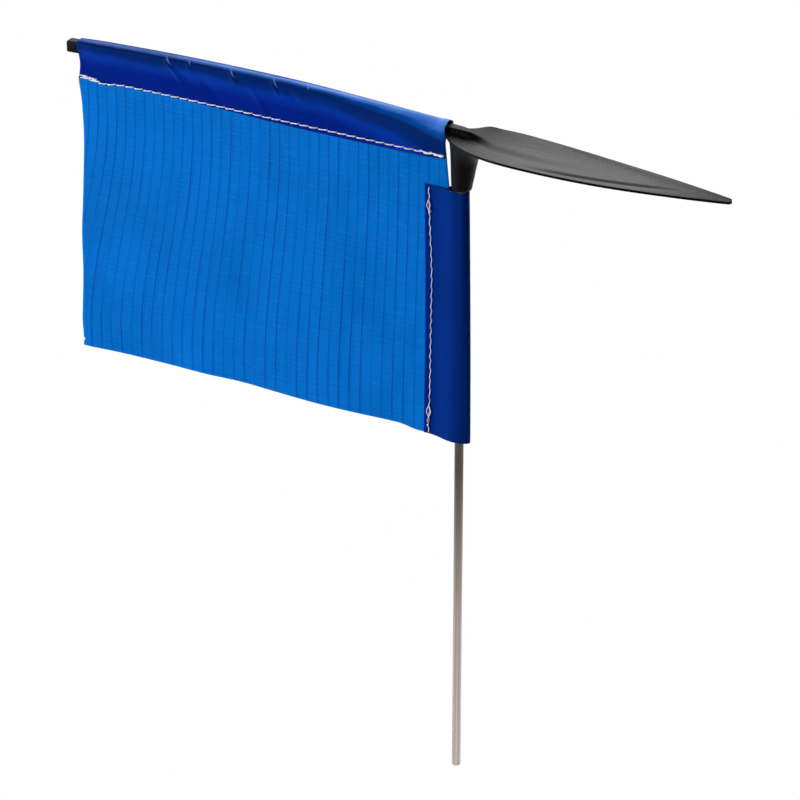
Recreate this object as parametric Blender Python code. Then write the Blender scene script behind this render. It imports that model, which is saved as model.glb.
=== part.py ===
"""Masthead racing burgee: a small swivelling wind vane for a sailing dinghy.

A moulded arrow (tail arm, hub and leaf-shaped nose blade) turns freely on the ground point of a thin
stainless rod. A ripstop flag hangs from the tail arm in a folded head sleeve, and wraps the rod with a
folded luff sleeve. Both sleeves are sewn on with a lockstitch.

Frame: metres, +Z up along the rod, origin at the centre of the rod's foot, +X towards the arrow's nose.
"""

import math

import bmesh
import bpy
from mathutils import Vector

# Rod
ROD_DIAMETER = 0.0030
ROD_LENGTH = 0.2359
ROD_FOOT_CHAMFER = 0.0002
ROD_POINT_HEIGHT = 0.0013
ROD_POINT_TIP_RADIUS = 0.0002
TURNED_SEGMENTS = 32

# Bearings inside the hub
BUSH_RUNNING_CLEARANCE = 0.00008
BUSH_WALL = 0.00055
BUSH_LENGTH = 0.0040
BUSH_LIP_WIDTH = 0.0002
BUSH_LIP_THICKNESS = 0.0003
PRESS_GAP = 0.00005
CLIP_THICKNESS = 0.0004
CLIP_PLAY = 0.0003
CLIP_GROOVE_DEPTH = 0.00035
CLIP_BORE_CLEARANCE = 0.00015
CLIP_OPENING_DEG = 70
CUP_HEIGHT = 0.0018
CUP_DIMPLE_DEPTH = 0.0009
CUP_DIMPLE_RADIUS = 0.0014
TIP_GAP = 0.00015

# Arrow moulding: hub
HUB_BORE_DEPTH = 0.0170
HUB_BOTTOM_WALL = 0.0011
HUB_CHAMFER = 0.0006
HUB_DRAFT = 0.105
HUB_LEAN = 0.08
HUB_FILLET_HEIGHT = 0.0065
HUB_FILLET_SPREAD = 0.0018

# Arrow moulding: tail arm
ARM_SIZE = 0.0035
ARM_CORNER_RADIUS = 0.0006
ARM_LENGTH = 0.1439
ARM_AXIS_ABOVE_BORE = 0.0024
ARM_BOW_RADIUS = 1.326
ARM_BOW_APEX = 0.0877
ARM_NOSE_OVERRUN = 0.0012

# Arrow moulding: nose blade
BLADE_NOSE_REACH = 0.0912
BLADE_REAR_X = -0.0042
BLADE_WIDTH = 0.0226
BLADE_WIDEST_X = 0.0180
BLADE_THICKNESS = 0.0008
BLADE_SWEEP = 0.0032
BLADE_ROOT_ABOVE_BORE = 0.0017
BLADE_TIP_HALF_WIDTH = 0.0006
BLADE_TAPER_POWER = 1.73
BLADE_REAR_HALF_WIDTH = 0.0025
BLADE_CAMBER = 0.0006
SPINE_HEIGHT = 0.0018
SPINE_HALF_WIDTH = 0.0046
SPINE_LENGTH = 0.0460
SPINE_NARROWING_POWER = 0.6
SPINE_FALL_POWER = 1.2

# Flag
PANEL_THICKNESS = 0.0003
PANEL_DROP = 0.1010
PANEL_SEAM_ALLOWANCE = 0.0028
PANEL_LEECH_RAKE = 0.0036
PANEL_LUFF_RAKE = 0.0012
SLEEVE_WALL = 0.00035
LAYER_GAP = 0.00025
HEAD_SEAM_INSET = 0.0006
LUFF_SEAM_INSET = 0.0018

HEAD_SEAM_BELOW_ARM = 0.0083
HEAD_SLEEVE_CLEARANCE = 0.0002
HEAD_SLEEVE_HUB_GAP = 0.0012
TAIL_SHOWING = 0.0040

LUFF_SLEEVE_WIDTH = 0.0158
LUFF_SLEEVE_FRONT = 0.0032
LUFF_SLEEVE_CLEARANCE = 0.0003
LUFF_FOLD_RADIUS = 0.0011
LUFF_SLEEVE_OVERHANG = 0.0009
LUFF_TOP_GAP = 0.00025
PANEL_ROD_GAP = 0.0030

# Sewing thread
THREAD_DIAMETER = 0.00036
THREAD_SEAT_GAP = 0.00008
THREAD_WAVE = 0.00012
HEAD_STITCH = 0.0034
LUFF_STITCH = 0.0030
BACKTACK_ROWS = 2
BACKTACK_ROW_STEP = 0.0006
HEAD_BACKTACK_LENGTH = 0.0062
LUFF_BACKTACK_LENGTH = 0.0070
THREAD_END_MARGIN = 0.0008

# Levels and radii that follow from the sizes above
ROD_RADIUS = ROD_DIAMETER / 2
CUP_BOTTOM_Z = ROD_LENGTH + TIP_GAP - CUP_DIMPLE_DEPTH
CUP_TOP_Z = CUP_BOTTOM_Z + CUP_HEIGHT
BORE_TOP_Z = CUP_TOP_Z + PRESS_GAP
HUB_BOTTOM_Z = BORE_TOP_Z - HUB_BORE_DEPTH
BUSH_INNER_RADIUS = ROD_RADIUS + BUSH_RUNNING_CLEARANCE
BUSH_OUTER_RADIUS = BUSH_INNER_RADIUS + BUSH_WALL
BUSH_TOP_Z = HUB_BOTTOM_Z + BUSH_LENGTH
BUSH_LIP_BOTTOM_Z = HUB_BOTTOM_Z - PRESS_GAP - BUSH_LIP_THICKNESS
BORE_RADIUS = BUSH_OUTER_RADIUS + PRESS_GAP
GROOVE_RADIUS = ROD_RADIUS - CLIP_GROOVE_DEPTH
CLIP_BOTTOM_Z = BUSH_TOP_Z + CLIP_PLAY
CLIP_TOP_Z = CLIP_BOTTOM_Z + CLIP_THICKNESS
ARM_AXIS_Z = BORE_TOP_Z + ARM_AXIS_ABOVE_BORE
BLADE_ROOT_Z = BORE_TOP_Z + BLADE_ROOT_ABOVE_BORE
LAYER_OFFSET = PANEL_THICKNESS / 2 + LAYER_GAP
HEAD_SEAM_Z = ARM_AXIS_Z - HEAD_SEAM_BELOW_ARM
HEAD_SLEEVE_BOTTOM_Z = HEAD_SEAM_Z - HEAD_SEAM_INSET
HEAD_SLEEVE_TAIL_X = TAIL_SHOWING - ARM_LENGTH
PANEL_TOP_Z = HEAD_SEAM_Z + PANEL_SEAM_ALLOWANCE
PANEL_BOTTOM_Z = HEAD_SEAM_Z - PANEL_DROP
PANEL_FRONT_X = -(ROD_RADIUS + PANEL_ROD_GAP)
LUFF_SLEEVE_TOP_Z = BUSH_LIP_BOTTOM_Z - LUFF_TOP_GAP
LUFF_SLEEVE_BOTTOM_Z = PANEL_BOTTOM_Z - LUFF_SLEEVE_OVERHANG
LUFF_SLEEVE_REAR_X = LUFF_SLEEVE_FRONT - LUFF_SLEEVE_WIDTH


def clear_scene():
    for obj in list(bpy.data.objects):
        bpy.data.objects.remove(obj, do_unlink=True)


def make_material(name, colour, roughness, metallic=0.0):
    material = bpy.data.materials.new(name)
    material.use_nodes = True
    shader = material.node_tree.nodes["Principled BSDF"]
    shader.inputs["Base Color"].default_value = (*colour, 1.0)
    shader.inputs["Roughness"].default_value = roughness
    shader.inputs["Metallic"].default_value = metallic
    return material


def add_object(name, bm, material, parent=None, smooth=True):
    """Turns a finished bmesh into a named object."""
    bmesh.ops.remove_doubles(bm, verts=bm.verts, dist=1e-7)
    bmesh.ops.recalc_face_normals(bm, faces=bm.faces)
    mesh = bpy.data.meshes.new(name)
    bm.to_mesh(mesh)
    bm.free()
    mesh.materials.append(material)
    if smooth:
        mesh.shade_smooth()
        mesh.set_sharp_from_angle(angle=math.radians(35))
    obj = bpy.data.objects.new(name, mesh)
    bpy.context.scene.collection.objects.link(obj)
    obj.parent = parent
    return obj


def turned(profile, ring=False):
    """A bmesh turned about the Z axis from (radius, z) points.

    The profile runs from the axis to the axis, or is a closed outline that stays off it when ring is set.
    """
    bm = bmesh.new()
    points = [bm.verts.new((radius, 0, z)) for radius, z in profile]
    following = points[1:] + points[:1] if ring else points[1:]
    edges = [bm.edges.new(pair) for pair in zip(points, following)]
    bmesh.ops.spin(
        bm, geom=points + edges, axis=(0, 0, 1), angle=math.tau, steps=TURNED_SEGMENTS, use_merge=True
    )
    return bm


def lofted(sections):
    """A closed bmesh skinned over closed sections with the same number of points, capped at both ends."""
    bm = bmesh.new()
    rings = [[bm.verts.new(point) for point in section] for section in sections]
    for lower, upper in zip(rings, rings[1:]):
        count = len(lower)
        for i in range(count):
            j = (i + 1) % count
            bm.faces.new((lower[i], lower[j], upper[j], upper[i]))
    bm.faces.new(rings[0])
    bm.faces.new(rings[-1])
    return bm


def hide_helper(obj):
    obj.hide_render = True
    obj.display_type = "WIRE"


def add_boolean(obj, helper, operation):
    modifier = obj.modifiers.new(operation.title(), "BOOLEAN")
    modifier.operation = operation
    modifier.object = helper


def arc(centre, radius, start_deg, end_deg, steps):
    """Points of an arc, both ends included."""
    angles = [math.radians(start_deg + (end_deg - start_deg) * i / steps) for i in range(steps + 1)]
    return [Vector((centre[0] + radius * math.cos(a), centre[1] + radius * math.sin(a))) for a in angles]


def make_rod(material):
    """Plain rod, square foot with a small chamfer, clip groove, and a ground point at the top."""
    cone_z = ROD_LENGTH - ROD_POINT_HEIGHT
    play = CLIP_PLAY / 2
    profile = [
        (0, 0),
        (ROD_RADIUS - ROD_FOOT_CHAMFER, 0),
        (ROD_RADIUS, ROD_FOOT_CHAMFER),
        (ROD_RADIUS, CLIP_BOTTOM_Z - play),
        (GROOVE_RADIUS, CLIP_BOTTOM_Z - play),
        (GROOVE_RADIUS, CLIP_TOP_Z + play),
        (ROD_RADIUS, CLIP_TOP_Z + play),
        (ROD_RADIUS, cone_z),
        (ROD_POINT_TIP_RADIUS, ROD_LENGTH - ROD_POINT_TIP_RADIUS / 2),
        (0, ROD_LENGTH),
    ]
    return add_object("pivot_rod", turned(profile), material)


def make_retaining_clip(material, rod):
    """Open spring ring in the rod's groove. It sits above the bush, so the head can't lift off."""
    inner = GROOVE_RADIUS + PRESS_GAP
    outer = BORE_RADIUS - CLIP_BORE_CLEARANCE
    half = CLIP_OPENING_DEG / 2
    steps = 24
    outline = arc((0, 0), outer, half, 360 - half, steps) + arc((0, 0), inner, 360 - half, half, steps)
    bottom = [(p.x, p.y, CLIP_BOTTOM_Z) for p in outline]
    top = [(p.x, p.y, CLIP_TOP_Z) for p in outline]
    return add_object("retaining_clip", lofted([bottom, top]), material, parent=rod)


def make_bush(material, head):
    """Flanged journal bush pressed into the hub's mouth. Its lip shows under the hub."""
    lip_radius = BUSH_OUTER_RADIUS + BUSH_LIP_WIDTH
    profile = [
        (BUSH_INNER_RADIUS, BUSH_LIP_BOTTOM_Z),
        (lip_radius, BUSH_LIP_BOTTOM_Z),
        (lip_radius, HUB_BOTTOM_Z - PRESS_GAP),
        (BUSH_OUTER_RADIUS, HUB_BOTTOM_Z - PRESS_GAP),
        (BUSH_OUTER_RADIUS, BUSH_TOP_Z),
        (BUSH_INNER_RADIUS, BUSH_TOP_Z),
    ]
    return add_object("pivot_bush", turned(profile, ring=True), material, parent=head)


def make_thrust_cup(material, head):
    """Hard cup at the blind end of the bore. The rod's point turns in its dimple."""
    profile = [
        (0, CUP_BOTTOM_Z + CUP_DIMPLE_DEPTH),
        (CUP_DIMPLE_RADIUS, CUP_BOTTOM_Z),
        (BUSH_OUTER_RADIUS, CUP_BOTTOM_Z),
        (BUSH_OUTER_RADIUS, CUP_TOP_Z),
        (0, CUP_TOP_Z),
    ]
    return add_object("thrust_cup", turned(profile), material, parent=head)


def arm_axis_z(x):
    """Height of the arm's centre line, a shallow arc that is bowed upwards."""
    sag_at_hub = ARM_BOW_APEX**2 / (2 * ARM_BOW_RADIUS)
    return ARM_AXIS_Z + sag_at_hub - (x + ARM_BOW_APEX) ** 2 / (2 * ARM_BOW_RADIUS)


def rounded_square(size, radius, steps=3):
    half = size / 2 - radius
    points = []
    for quarter, (sy, sz) in enumerate(((1, 1), (-1, 1), (-1, -1), (1, -1))):
        points += arc((sy * half, sz * half), radius, quarter * 90, quarter * 90 + 90, steps)
    return points


def make_arm_bar():
    """Rounded square bar from the tail to just ahead of the hub, with a small chamfer at the tail."""
    stations = 16
    chamfer = ARM_CORNER_RADIUS / 2
    sections = []
    start = -ARM_LENGTH
    length = ARM_LENGTH + ARM_NOSE_OVERRUN
    places = [(start, chamfer), (start + chamfer, 0)]
    places += [(start + length * i / stations, 0) for i in range(1, stations + 1)]
    for x, inset in places:
        outline = rounded_square(ARM_SIZE - 2 * inset, ARM_CORNER_RADIUS - inset / 2)
        sections.append([(x, p.x, p.y + arm_axis_z(x)) for p in outline])
    return lofted(sections)


def blade_half_width(x):
    """Half width of the leaf: a quarter ellipse at the rear and a power curve towards the nose."""
    widest = BLADE_WIDTH / 2
    if x < BLADE_WIDEST_X:
        rear_share = BLADE_REAR_HALF_WIDTH / widest
        reach = (BLADE_WIDEST_X - BLADE_REAR_X) / math.sqrt(1 - rear_share**2)
        return widest * math.sqrt(1 - ((BLADE_WIDEST_X - x) / reach) ** 2)
    reach = BLADE_NOSE_REACH - BLADE_WIDEST_X
    fall = ((x - BLADE_WIDEST_X) / reach) ** BLADE_TAPER_POWER
    return BLADE_TIP_HALF_WIDTH + (widest - BLADE_TIP_HALF_WIDTH) * (1 - fall)


def blade_edge_z(x):
    """Height of the top of the leaf's edge: it leaves the hub nose-down and sweeps out level."""
    share = max(0.0, 1 - x / BLADE_NOSE_REACH)
    return BLADE_ROOT_Z - BLADE_SWEEP + BLADE_SWEEP * share**2


def blade_top_rise(x, y):
    """Camber over the whole leaf, and the spine that carries the arm forward and runs out."""
    half = blade_half_width(x)
    rise = BLADE_CAMBER * (1 - (y / half) ** 2) * min(1.0, half / SPINE_HALF_WIDTH)
    along = (x - BLADE_REAR_X) / (SPINE_LENGTH - BLADE_REAR_X)
    if along < 1:
        width = SPINE_HALF_WIDTH * (1 - along) ** SPINE_NARROWING_POWER
        if abs(y) < width:
            rise += SPINE_HEIGHT * (1 - along) ** SPINE_FALL_POWER * (0.5 + 0.5 * math.cos(math.pi * y / width))
    return rise


def make_blade():
    """Thin leaf with a rounded edge, cambered on top and nearly flat underneath."""
    stations = 26
    across = 14
    sections = []
    span = BLADE_NOSE_REACH - BLADE_REAR_X
    rim = BLADE_THICKNESS / 2
    for i in range(stations + 1):
        x = BLADE_REAR_X + span * (0.5 - 0.5 * math.cos(math.pi * i / stations))
        half = blade_half_width(x)
        edge_z = blade_edge_z(x)
        inner = half - min(rim / 2, half / 3)
        top = [inner * (1 - 2 * j / across) for j in range(across + 1)]
        section = [(x, y, edge_z + blade_top_rise(x, y)) for y in top]
        section.append((x, -half, edge_z - rim))
        section += [(x, y, edge_z - BLADE_THICKNESS) for y in (-inner, -inner / 2, 0, inner / 2, inner)]
        section.append((x, half, edge_z - rim))
        sections.append(section)
    return lofted(sections)


def hub_top_z():
    """The hub's solid ends inside the blade's root."""
    return BLADE_ROOT_Z - BLADE_THICKNESS / 2


def hub_section(z):
    """(centre x, radius) of the hub's outside: a taper that leans forward, then a spread into the blade."""
    rise = z - HUB_BOTTOM_Z
    into_fillet = max(0.0, z - hub_top_z() + HUB_FILLET_HEIGHT) / HUB_FILLET_HEIGHT
    spread = HUB_FILLET_SPREAD * into_fillet**2
    return rise * HUB_LEAN + spread, BORE_RADIUS + HUB_BOTTOM_WALL + rise * HUB_DRAFT + spread


def head_sleeve_front_x():
    """The head sleeve ends just behind the blade's root and the hub, at the levels where it passes them."""
    steps = 8
    passed = hub_top_z() - HEAD_SLEEVE_BOTTOM_Z
    levels = [HEAD_SLEEVE_BOTTOM_Z + passed * i / steps for i in range(steps + 1)]
    hub_rear_x = min(centre - radius for centre, radius in map(hub_section, levels))
    return min(BLADE_REAR_X, hub_rear_x) - HEAD_SLEEVE_HUB_GAP


def make_hub():
    """Tapered socket that leans a little towards the nose and spreads into the blade."""
    top_z = hub_top_z()
    taper_start = HUB_BOTTOM_Z + HUB_CHAMFER
    fillet_start = top_z - HUB_FILLET_HEIGHT
    levels = [HUB_BOTTOM_Z, taper_start, (taper_start + fillet_start) / 2]
    fillet_steps = 5
    levels += [fillet_start + HUB_FILLET_HEIGHT * i / fillet_steps for i in range(fillet_steps + 1)]
    sections = []
    for z in levels:
        centre_x, radius = hub_section(z)
        chamfer = HUB_CHAMFER if z == HUB_BOTTOM_Z else 0
        ring = arc((centre_x, 0), radius - chamfer, 0, 360 - 360 / TURNED_SEGMENTS, TURNED_SEGMENTS - 1)
        sections.append([(p.x, p.y, z) for p in ring])
    return lofted(sections)


def make_bore():
    """Cutter for the blind bore that takes the bush, the clip, the rod's end and the cup."""
    clear_below = HUB_BOTTOM_Z - BORE_RADIUS
    profile = [(0, clear_below), (BORE_RADIUS, clear_below), (BORE_RADIUS, BORE_TOP_Z), (0, BORE_TOP_Z)]
    return turned(profile)


def make_arrow_moulding(material, head):
    """Arm, hub and blade in one moulding, with the blind pivot bore cut up into the hub."""
    arrow = add_object("arrow_moulding", make_blade(), material, parent=head)
    for name, shape in (("hub_solid", make_hub()), ("arm_solid", make_arm_bar())):
        helper = add_object(name, shape, material, parent=head)
        hide_helper(helper)
        add_boolean(arrow, helper, "UNION")
    bore = add_object("bore_cutter", make_bore(), material, parent=head)
    hide_helper(bore)
    add_boolean(arrow, bore, "DIFFERENCE")
    return arrow


def wall_outline(path, wall):
    """Closed outline of a strip whose inner face follows a path of 2-D points."""
    outer = []
    for i, point in enumerate(path):
        before = path[max(i - 1, 0)]
        after = path[min(i + 1, len(path) - 1)]
        along = (after - before).normalized()
        outer.append(point + Vector((along.y, -along.x)) * wall)
    return path + outer[::-1]


def flap_line(drop, radius):
    """Where a straight flap, from its edge at (LAYER_OFFSET, -drop), meets a fold of this radius.

    Returns the angle of the touching point in degrees, and how fast the flap spreads along its height.
    """
    distance = math.hypot(drop, LAYER_OFFSET)
    angle = math.atan2(-drop, LAYER_OFFSET) + math.acos(radius / distance)
    slope = (radius * math.cos(angle) - LAYER_OFFSET) / (radius * math.sin(angle) + drop)
    return math.degrees(angle), slope


def head_fold_radius():
    """Inner radius of the head fold, over the arm's rounded corners."""
    corner = ARM_SIZE / 2 - ARM_CORNER_RADIUS
    return corner * math.sqrt(2) + ARM_CORNER_RADIUS + HEAD_SLEEVE_CLEARANCE


def luff_fold_radius():
    """Inner radius of the luff sleeve where it passes the rod."""
    return ROD_RADIUS + LUFF_SLEEVE_CLEARANCE


def make_head_sleeve(material, head):
    """Coated strip folded over the arm. Its two lower edges hold the panel's top edge between them."""
    stations = 14
    fold_steps = 10
    radius = head_fold_radius()
    front = head_sleeve_front_x()
    sections = []
    for i in range(stations + 1):
        x = HEAD_SLEEVE_TAIL_X + (front - HEAD_SLEEVE_TAIL_X) * i / stations
        centre = arm_axis_z(x)
        drop = centre - HEAD_SLEEVE_BOTTOM_Z
        start, _ = flap_line(drop, radius)
        fold = arc((0, 0), radius, start, 180 - start, fold_steps)
        path = [Vector((LAYER_OFFSET, -drop))] + fold + [Vector((-LAYER_OFFSET, -drop))]
        sections.append([(x, p.x, centre + p.y) for p in wall_outline(path, SLEEVE_WALL)])
    return add_object("head_sleeve", lofted(sections), material, parent=head, smooth=False)


def make_luff_sleeve(material, head):
    """Coated strip folded round the rod, flattened ahead of it, and closed on the panel's front edge."""
    around = luff_fold_radius()
    fold_x = LUFF_SLEEVE_FRONT - SLEEVE_WALL - LUFF_FOLD_RADIUS
    start, _ = flap_line(-LUFF_SLEEVE_REAR_X, around)
    touch = 90 - math.degrees(math.acos((around - LUFF_FOLD_RADIUS) / fold_x))
    half = [Vector((LAYER_OFFSET, LUFF_SLEEVE_REAR_X))]
    steps = 5
    half += arc((0, 0), around, start, touch, steps)
    half += arc((0, fold_x), LUFF_FOLD_RADIUS, touch, 90, steps)
    path = half + [Vector((-p.x, p.y)) for p in half[-2::-1]]
    outline = wall_outline(path, SLEEVE_WALL)
    sections = [[(p.y, p.x, z) for p in outline] for z in (LUFF_SLEEVE_BOTTOM_Z, LUFF_SLEEVE_TOP_Z)]
    return add_object("luff_sleeve", lofted(sections), material, parent=head, smooth=False)


def make_panel(material, head):
    """Flat ripstop panel. Its leech rakes back towards the foot, and its luff stops short of the rod."""
    leech_x = HEAD_SLEEVE_TAIL_X
    outline = [
        (leech_x - PANEL_LEECH_RAKE, PANEL_BOTTOM_Z),
        (PANEL_FRONT_X, PANEL_BOTTOM_Z),
        (PANEL_FRONT_X, LUFF_SLEEVE_TOP_Z),
        (PANEL_FRONT_X - PANEL_LUFF_RAKE, PANEL_TOP_Z),
        (leech_x, PANEL_TOP_Z),
    ]
    half = PANEL_THICKNESS / 2
    sections = [[(x, y, z) for x, z in outline] for y in (half, -half)]
    return add_object("flag_panel", lofted(sections), material, parent=head, smooth=False)


def seam_points(start, end, stitch, tack_length):
    """(along, row) points of one thread: short back-tack rows at each end, and one run between them."""
    per_row = round(tack_length / stitch)
    forward = [tack_length * i / per_row for i in range(per_row + 1)]
    run_count = round((end - start) / stitch)
    points = []
    for row in range(BACKTACK_ROWS, 0, -1):
        points += [(start + t, row) for t in (forward[::-1] if row % 2 else forward)]
    points += [(start + (end - start) * i / run_count, 0) for i in range(run_count + 1)]
    for row in range(1, BACKTACK_ROWS + 1):
        points += [(end - t, row) for t in (forward if row % 2 else forward[::-1])]
    return points


def make_thread(name, material, head, points, place):
    """One thread of a lockstitch. place turns (along, row, wave) into a position on the seam's face."""
    curve = bpy.data.curves.new(name, "CURVE")
    curve.dimensions = "3D"
    curve.bevel_depth = THREAD_DIAMETER / 2
    curve.bevel_resolution = 1
    curve.use_fill_caps = True
    curve.materials.append(material)
    spline = curve.splines.new("POLY")
    spline.points.add(len(points) - 1)
    for i, (along, row) in enumerate(points):
        wave = THREAD_WAVE * (1 + (-1) ** i)
        spline.points[i].co = (*place(along, row * BACKTACK_ROW_STEP, wave), 1)
    obj = bpy.data.objects.new(name, curve)
    bpy.context.scene.collection.objects.link(obj)
    obj.parent = head


def make_threads(material, head):
    """A needle thread on the near face (-Y) and a bobbin thread on the far face, for each of the two seams."""
    off_face = SLEEVE_WALL + THREAD_SEAT_GAP + THREAD_DIAMETER / 2
    _, luff_slope = flap_line(-LUFF_SLEEVE_REAR_X, luff_fold_radius())

    def face_y(slope, from_edge):
        return LAYER_OFFSET + slope * from_edge + off_face * math.hypot(1, slope)

    def head_place(side):
        def place(along, up, wave):
            from_edge = HEAD_SEAM_INSET + up
            _, slope = flap_line(arm_axis_z(along) - HEAD_SLEEVE_BOTTOM_Z, head_fold_radius())
            return along, side * (face_y(slope, from_edge) + wave), HEAD_SLEEVE_BOTTOM_Z + from_edge

        return place

    def luff_place(side):
        def place(along, forward, wave):
            from_edge = LUFF_SEAM_INSET + forward
            return LUFF_SLEEVE_REAR_X + from_edge, side * (face_y(luff_slope, from_edge) + wave), along

        return place

    head_points = seam_points(
        HEAD_SLEEVE_TAIL_X + THREAD_END_MARGIN,
        head_sleeve_front_x() - THREAD_END_MARGIN,
        HEAD_STITCH,
        HEAD_BACKTACK_LENGTH,
    )
    luff_points = seam_points(
        LUFF_SLEEVE_BOTTOM_Z + THREAD_END_MARGIN,
        LUFF_SLEEVE_TOP_Z - THREAD_END_MARGIN,
        LUFF_STITCH,
        LUFF_BACKTACK_LENGTH,
    )
    for role, side in (("needle", -1), ("bobbin", 1)):
        make_thread("head_" + role + "_thread", material, head, head_points, head_place(side))
        make_thread("luff_" + role + "_thread", material, head, luff_points, luff_place(side))


def main():
    clear_scene()
    steel = make_material("stainless_steel", (0.42, 0.40, 0.38), 0.3, 1.0)
    spring = make_material("spring_steel", (0.30, 0.30, 0.31), 0.35, 1.0)
    acetal = make_material("acetal", (0.35, 0.35, 0.34), 0.4)
    black = make_material("black_plastic", (0.03, 0.03, 0.03), 0.5)
    ripstop = make_material("ripstop_blue", (0.0, 0.16, 0.60), 0.55)
    coated = make_material("coated_blue", (0.0, 0.02, 0.35), 0.35)
    thread = make_material("white_thread", (0.75, 0.74, 0.76), 0.8)

    rod = make_rod(steel)
    make_retaining_clip(spring, rod)

    head = bpy.data.objects.new("swivelling_head", None)
    bpy.context.scene.collection.objects.link(head)
    make_bush(acetal, head)
    make_thrust_cup(acetal, head)
    make_arrow_moulding(black, head)
    make_panel(ripstop, head)
    make_head_sleeve(coated, head)
    make_luff_sleeve(coated, head)
    make_threads(thread, head)


main()
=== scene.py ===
"""Looks for a masthead racing burgee: a small cloth flag on a moulded arrow that swivels on a steel rod."""

import math

import bmesh
import bpy
from mathutils import Matrix, Vector, noise


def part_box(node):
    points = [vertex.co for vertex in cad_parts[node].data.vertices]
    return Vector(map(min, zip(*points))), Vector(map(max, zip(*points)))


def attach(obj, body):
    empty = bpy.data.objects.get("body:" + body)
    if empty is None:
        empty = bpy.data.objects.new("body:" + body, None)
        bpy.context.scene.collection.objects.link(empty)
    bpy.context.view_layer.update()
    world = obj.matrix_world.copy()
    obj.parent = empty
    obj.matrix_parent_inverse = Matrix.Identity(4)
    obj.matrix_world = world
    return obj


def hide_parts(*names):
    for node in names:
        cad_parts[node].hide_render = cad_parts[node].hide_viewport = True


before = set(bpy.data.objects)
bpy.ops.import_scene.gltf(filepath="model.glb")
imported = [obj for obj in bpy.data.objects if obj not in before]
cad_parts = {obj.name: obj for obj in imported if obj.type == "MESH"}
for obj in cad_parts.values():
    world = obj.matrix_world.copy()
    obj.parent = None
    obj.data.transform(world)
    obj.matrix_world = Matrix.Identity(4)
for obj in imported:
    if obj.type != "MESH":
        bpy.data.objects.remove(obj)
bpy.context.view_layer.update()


# ---- Rod ----
# A straight length of hard-drawn stainless wire. Its foot is sawn square and dressed with a small chamfer.
# Its top is turned with a groove for the clip and ground to a short point that the head turns on.


def add_node(tree, kind, inputs=(), **options):
    """A shader node with its options set, and its sockets filled with values or other nodes' outputs."""
    made = tree.nodes.new("ShaderNode" + kind)
    for option, value in options.items():
        setattr(made, option, value)
    for socket, value in dict(inputs).items():
        if isinstance(value, bpy.types.NodeSocket):
            tree.links.new(value, made.inputs[socket])
        else:
            made.inputs[socket].default_value = value
    return made


def add_finish(name, **values):
    """A material, its node tree and its shader. The values go on the shader's own sockets."""
    material = bpy.data.materials.new(name)
    material.use_nodes = True
    tree = material.node_tree
    shader = tree.nodes["Principled BSDF"]
    for socket, value in values.items():
        shader.inputs[socket.replace("_", " ")].default_value = value
    return material, tree, shader


def worked(tree, operation, *values):
    """The result of one sum on numbers and other nodes' outputs."""
    return add_node(tree, "Math", dict(enumerate(values)), operation=operation).outputs[0]


def mixed(tree, share, under, over, **options):
    """One colour laid over another by a share."""
    mix = add_node(tree, "MixRGB", {"Fac": share, "Color1": under, "Color2": over}, **options)
    return mix.outputs["Color"]


def scaled_noise(tree, coordinates, scale, detail=2.0):
    """Noise over coordinates that are first multiplied by scale, one number for each axis."""
    mapping = add_node(tree, "Mapping", {"Vector": coordinates, "Scale": scale})
    place = mapping.outputs["Vector"]
    return add_node(tree, "TexNoise", {"Vector": place, "Scale": 1.0, "Detail": detail}).outputs["Fac"]


def ramp_between(tree, value, low, high, dark, light):
    """Colour that runs from dark to light as value goes from low to high."""
    ramp = add_node(tree, "ValToRGB", {"Fac": value})
    ends = ramp.color_ramp.elements
    ends[0].position, ends[1].position = low, high
    ends[0].color, ends[1].color = (*dark, 1), (*light, 1)
    return ramp.outputs["Color"]


def range_of(tree, value, low, high, to_low, to_high):
    """Maps a value from one range onto another, held at both ends."""
    ends = {"From Min": low, "From Max": high, "To Min": to_low, "To Max": to_high}
    return add_node(tree, "MapRange", {"Value": value, **ends}).outputs["Result"]


def paint(tree, shader, colour, roughness):
    """Colour and roughness that vary over the surface."""
    tree.links.new(colour, shader.inputs["Base Color"])
    tree.links.new(roughness, shader.inputs["Roughness"])


def add_bump(tree, shader, height, distance, strength=1.0):
    """Bump on the shader, from a height in shares of distance, in metres."""
    bump = add_node(tree, "Bump", {"Height": height, "Distance": distance, "Strength": strength})
    tree.links.new(bump.outputs["Normal"], shader.inputs["Normal"])


def add_object(name, data):
    """An object in the scene. A piece's object stays at the origin, and its place is in its mesh."""
    made = bpy.data.objects.new(name, data)
    bpy.context.scene.collection.objects.link(made)
    return made


def closed_mesh(name, bm):
    """A finished bmesh as a mesh, its doubles merged and its faces turned outwards."""
    bmesh.ops.remove_doubles(bm, verts=bm.verts, dist=1e-7)
    bmesh.ops.recalc_face_normals(bm, faces=bm.faces)
    mesh = bpy.data.meshes.new(name)
    bm.to_mesh(mesh)
    bm.free()
    return mesh


def stand_for(piece, body, node):
    """The piece rides on a body and stands for a CAD node, whose own mesh is hidden."""
    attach(piece, body)
    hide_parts(node)
    return piece


def add_piece(name, bm, material, body, node, sharp_deg):
    """A finished bmesh as the piece that stands for a CAD node, smooth but for its sharp edges."""
    mesh = closed_mesh(name, bm)
    mesh.materials.append(material)
    mesh.shade_smooth()
    mesh.set_sharp_from_angle(angle=math.radians(sharp_deg))
    return stand_for(add_object(name, mesh), body, node)


def spun(outline, steps=64, ring=False):
    """A bmesh turned about the rod's axis from (radius, height) points, which ring joins end to end."""
    bm = bmesh.new()
    points = [bm.verts.new((radius, 0, z)) for radius, z in outline]
    following = points[1:] + points[:1] if ring else points[1:]
    edges = [bm.edges.new(pair) for pair in zip(points, following)]
    whole = {"geom": points + edges, "steps": steps, "angle": math.tau, "use_merge": True}
    bmesh.ops.spin(bm, axis=(0, 0, 1), cent=(0, 0, 0), **whole)
    return bm


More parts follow.
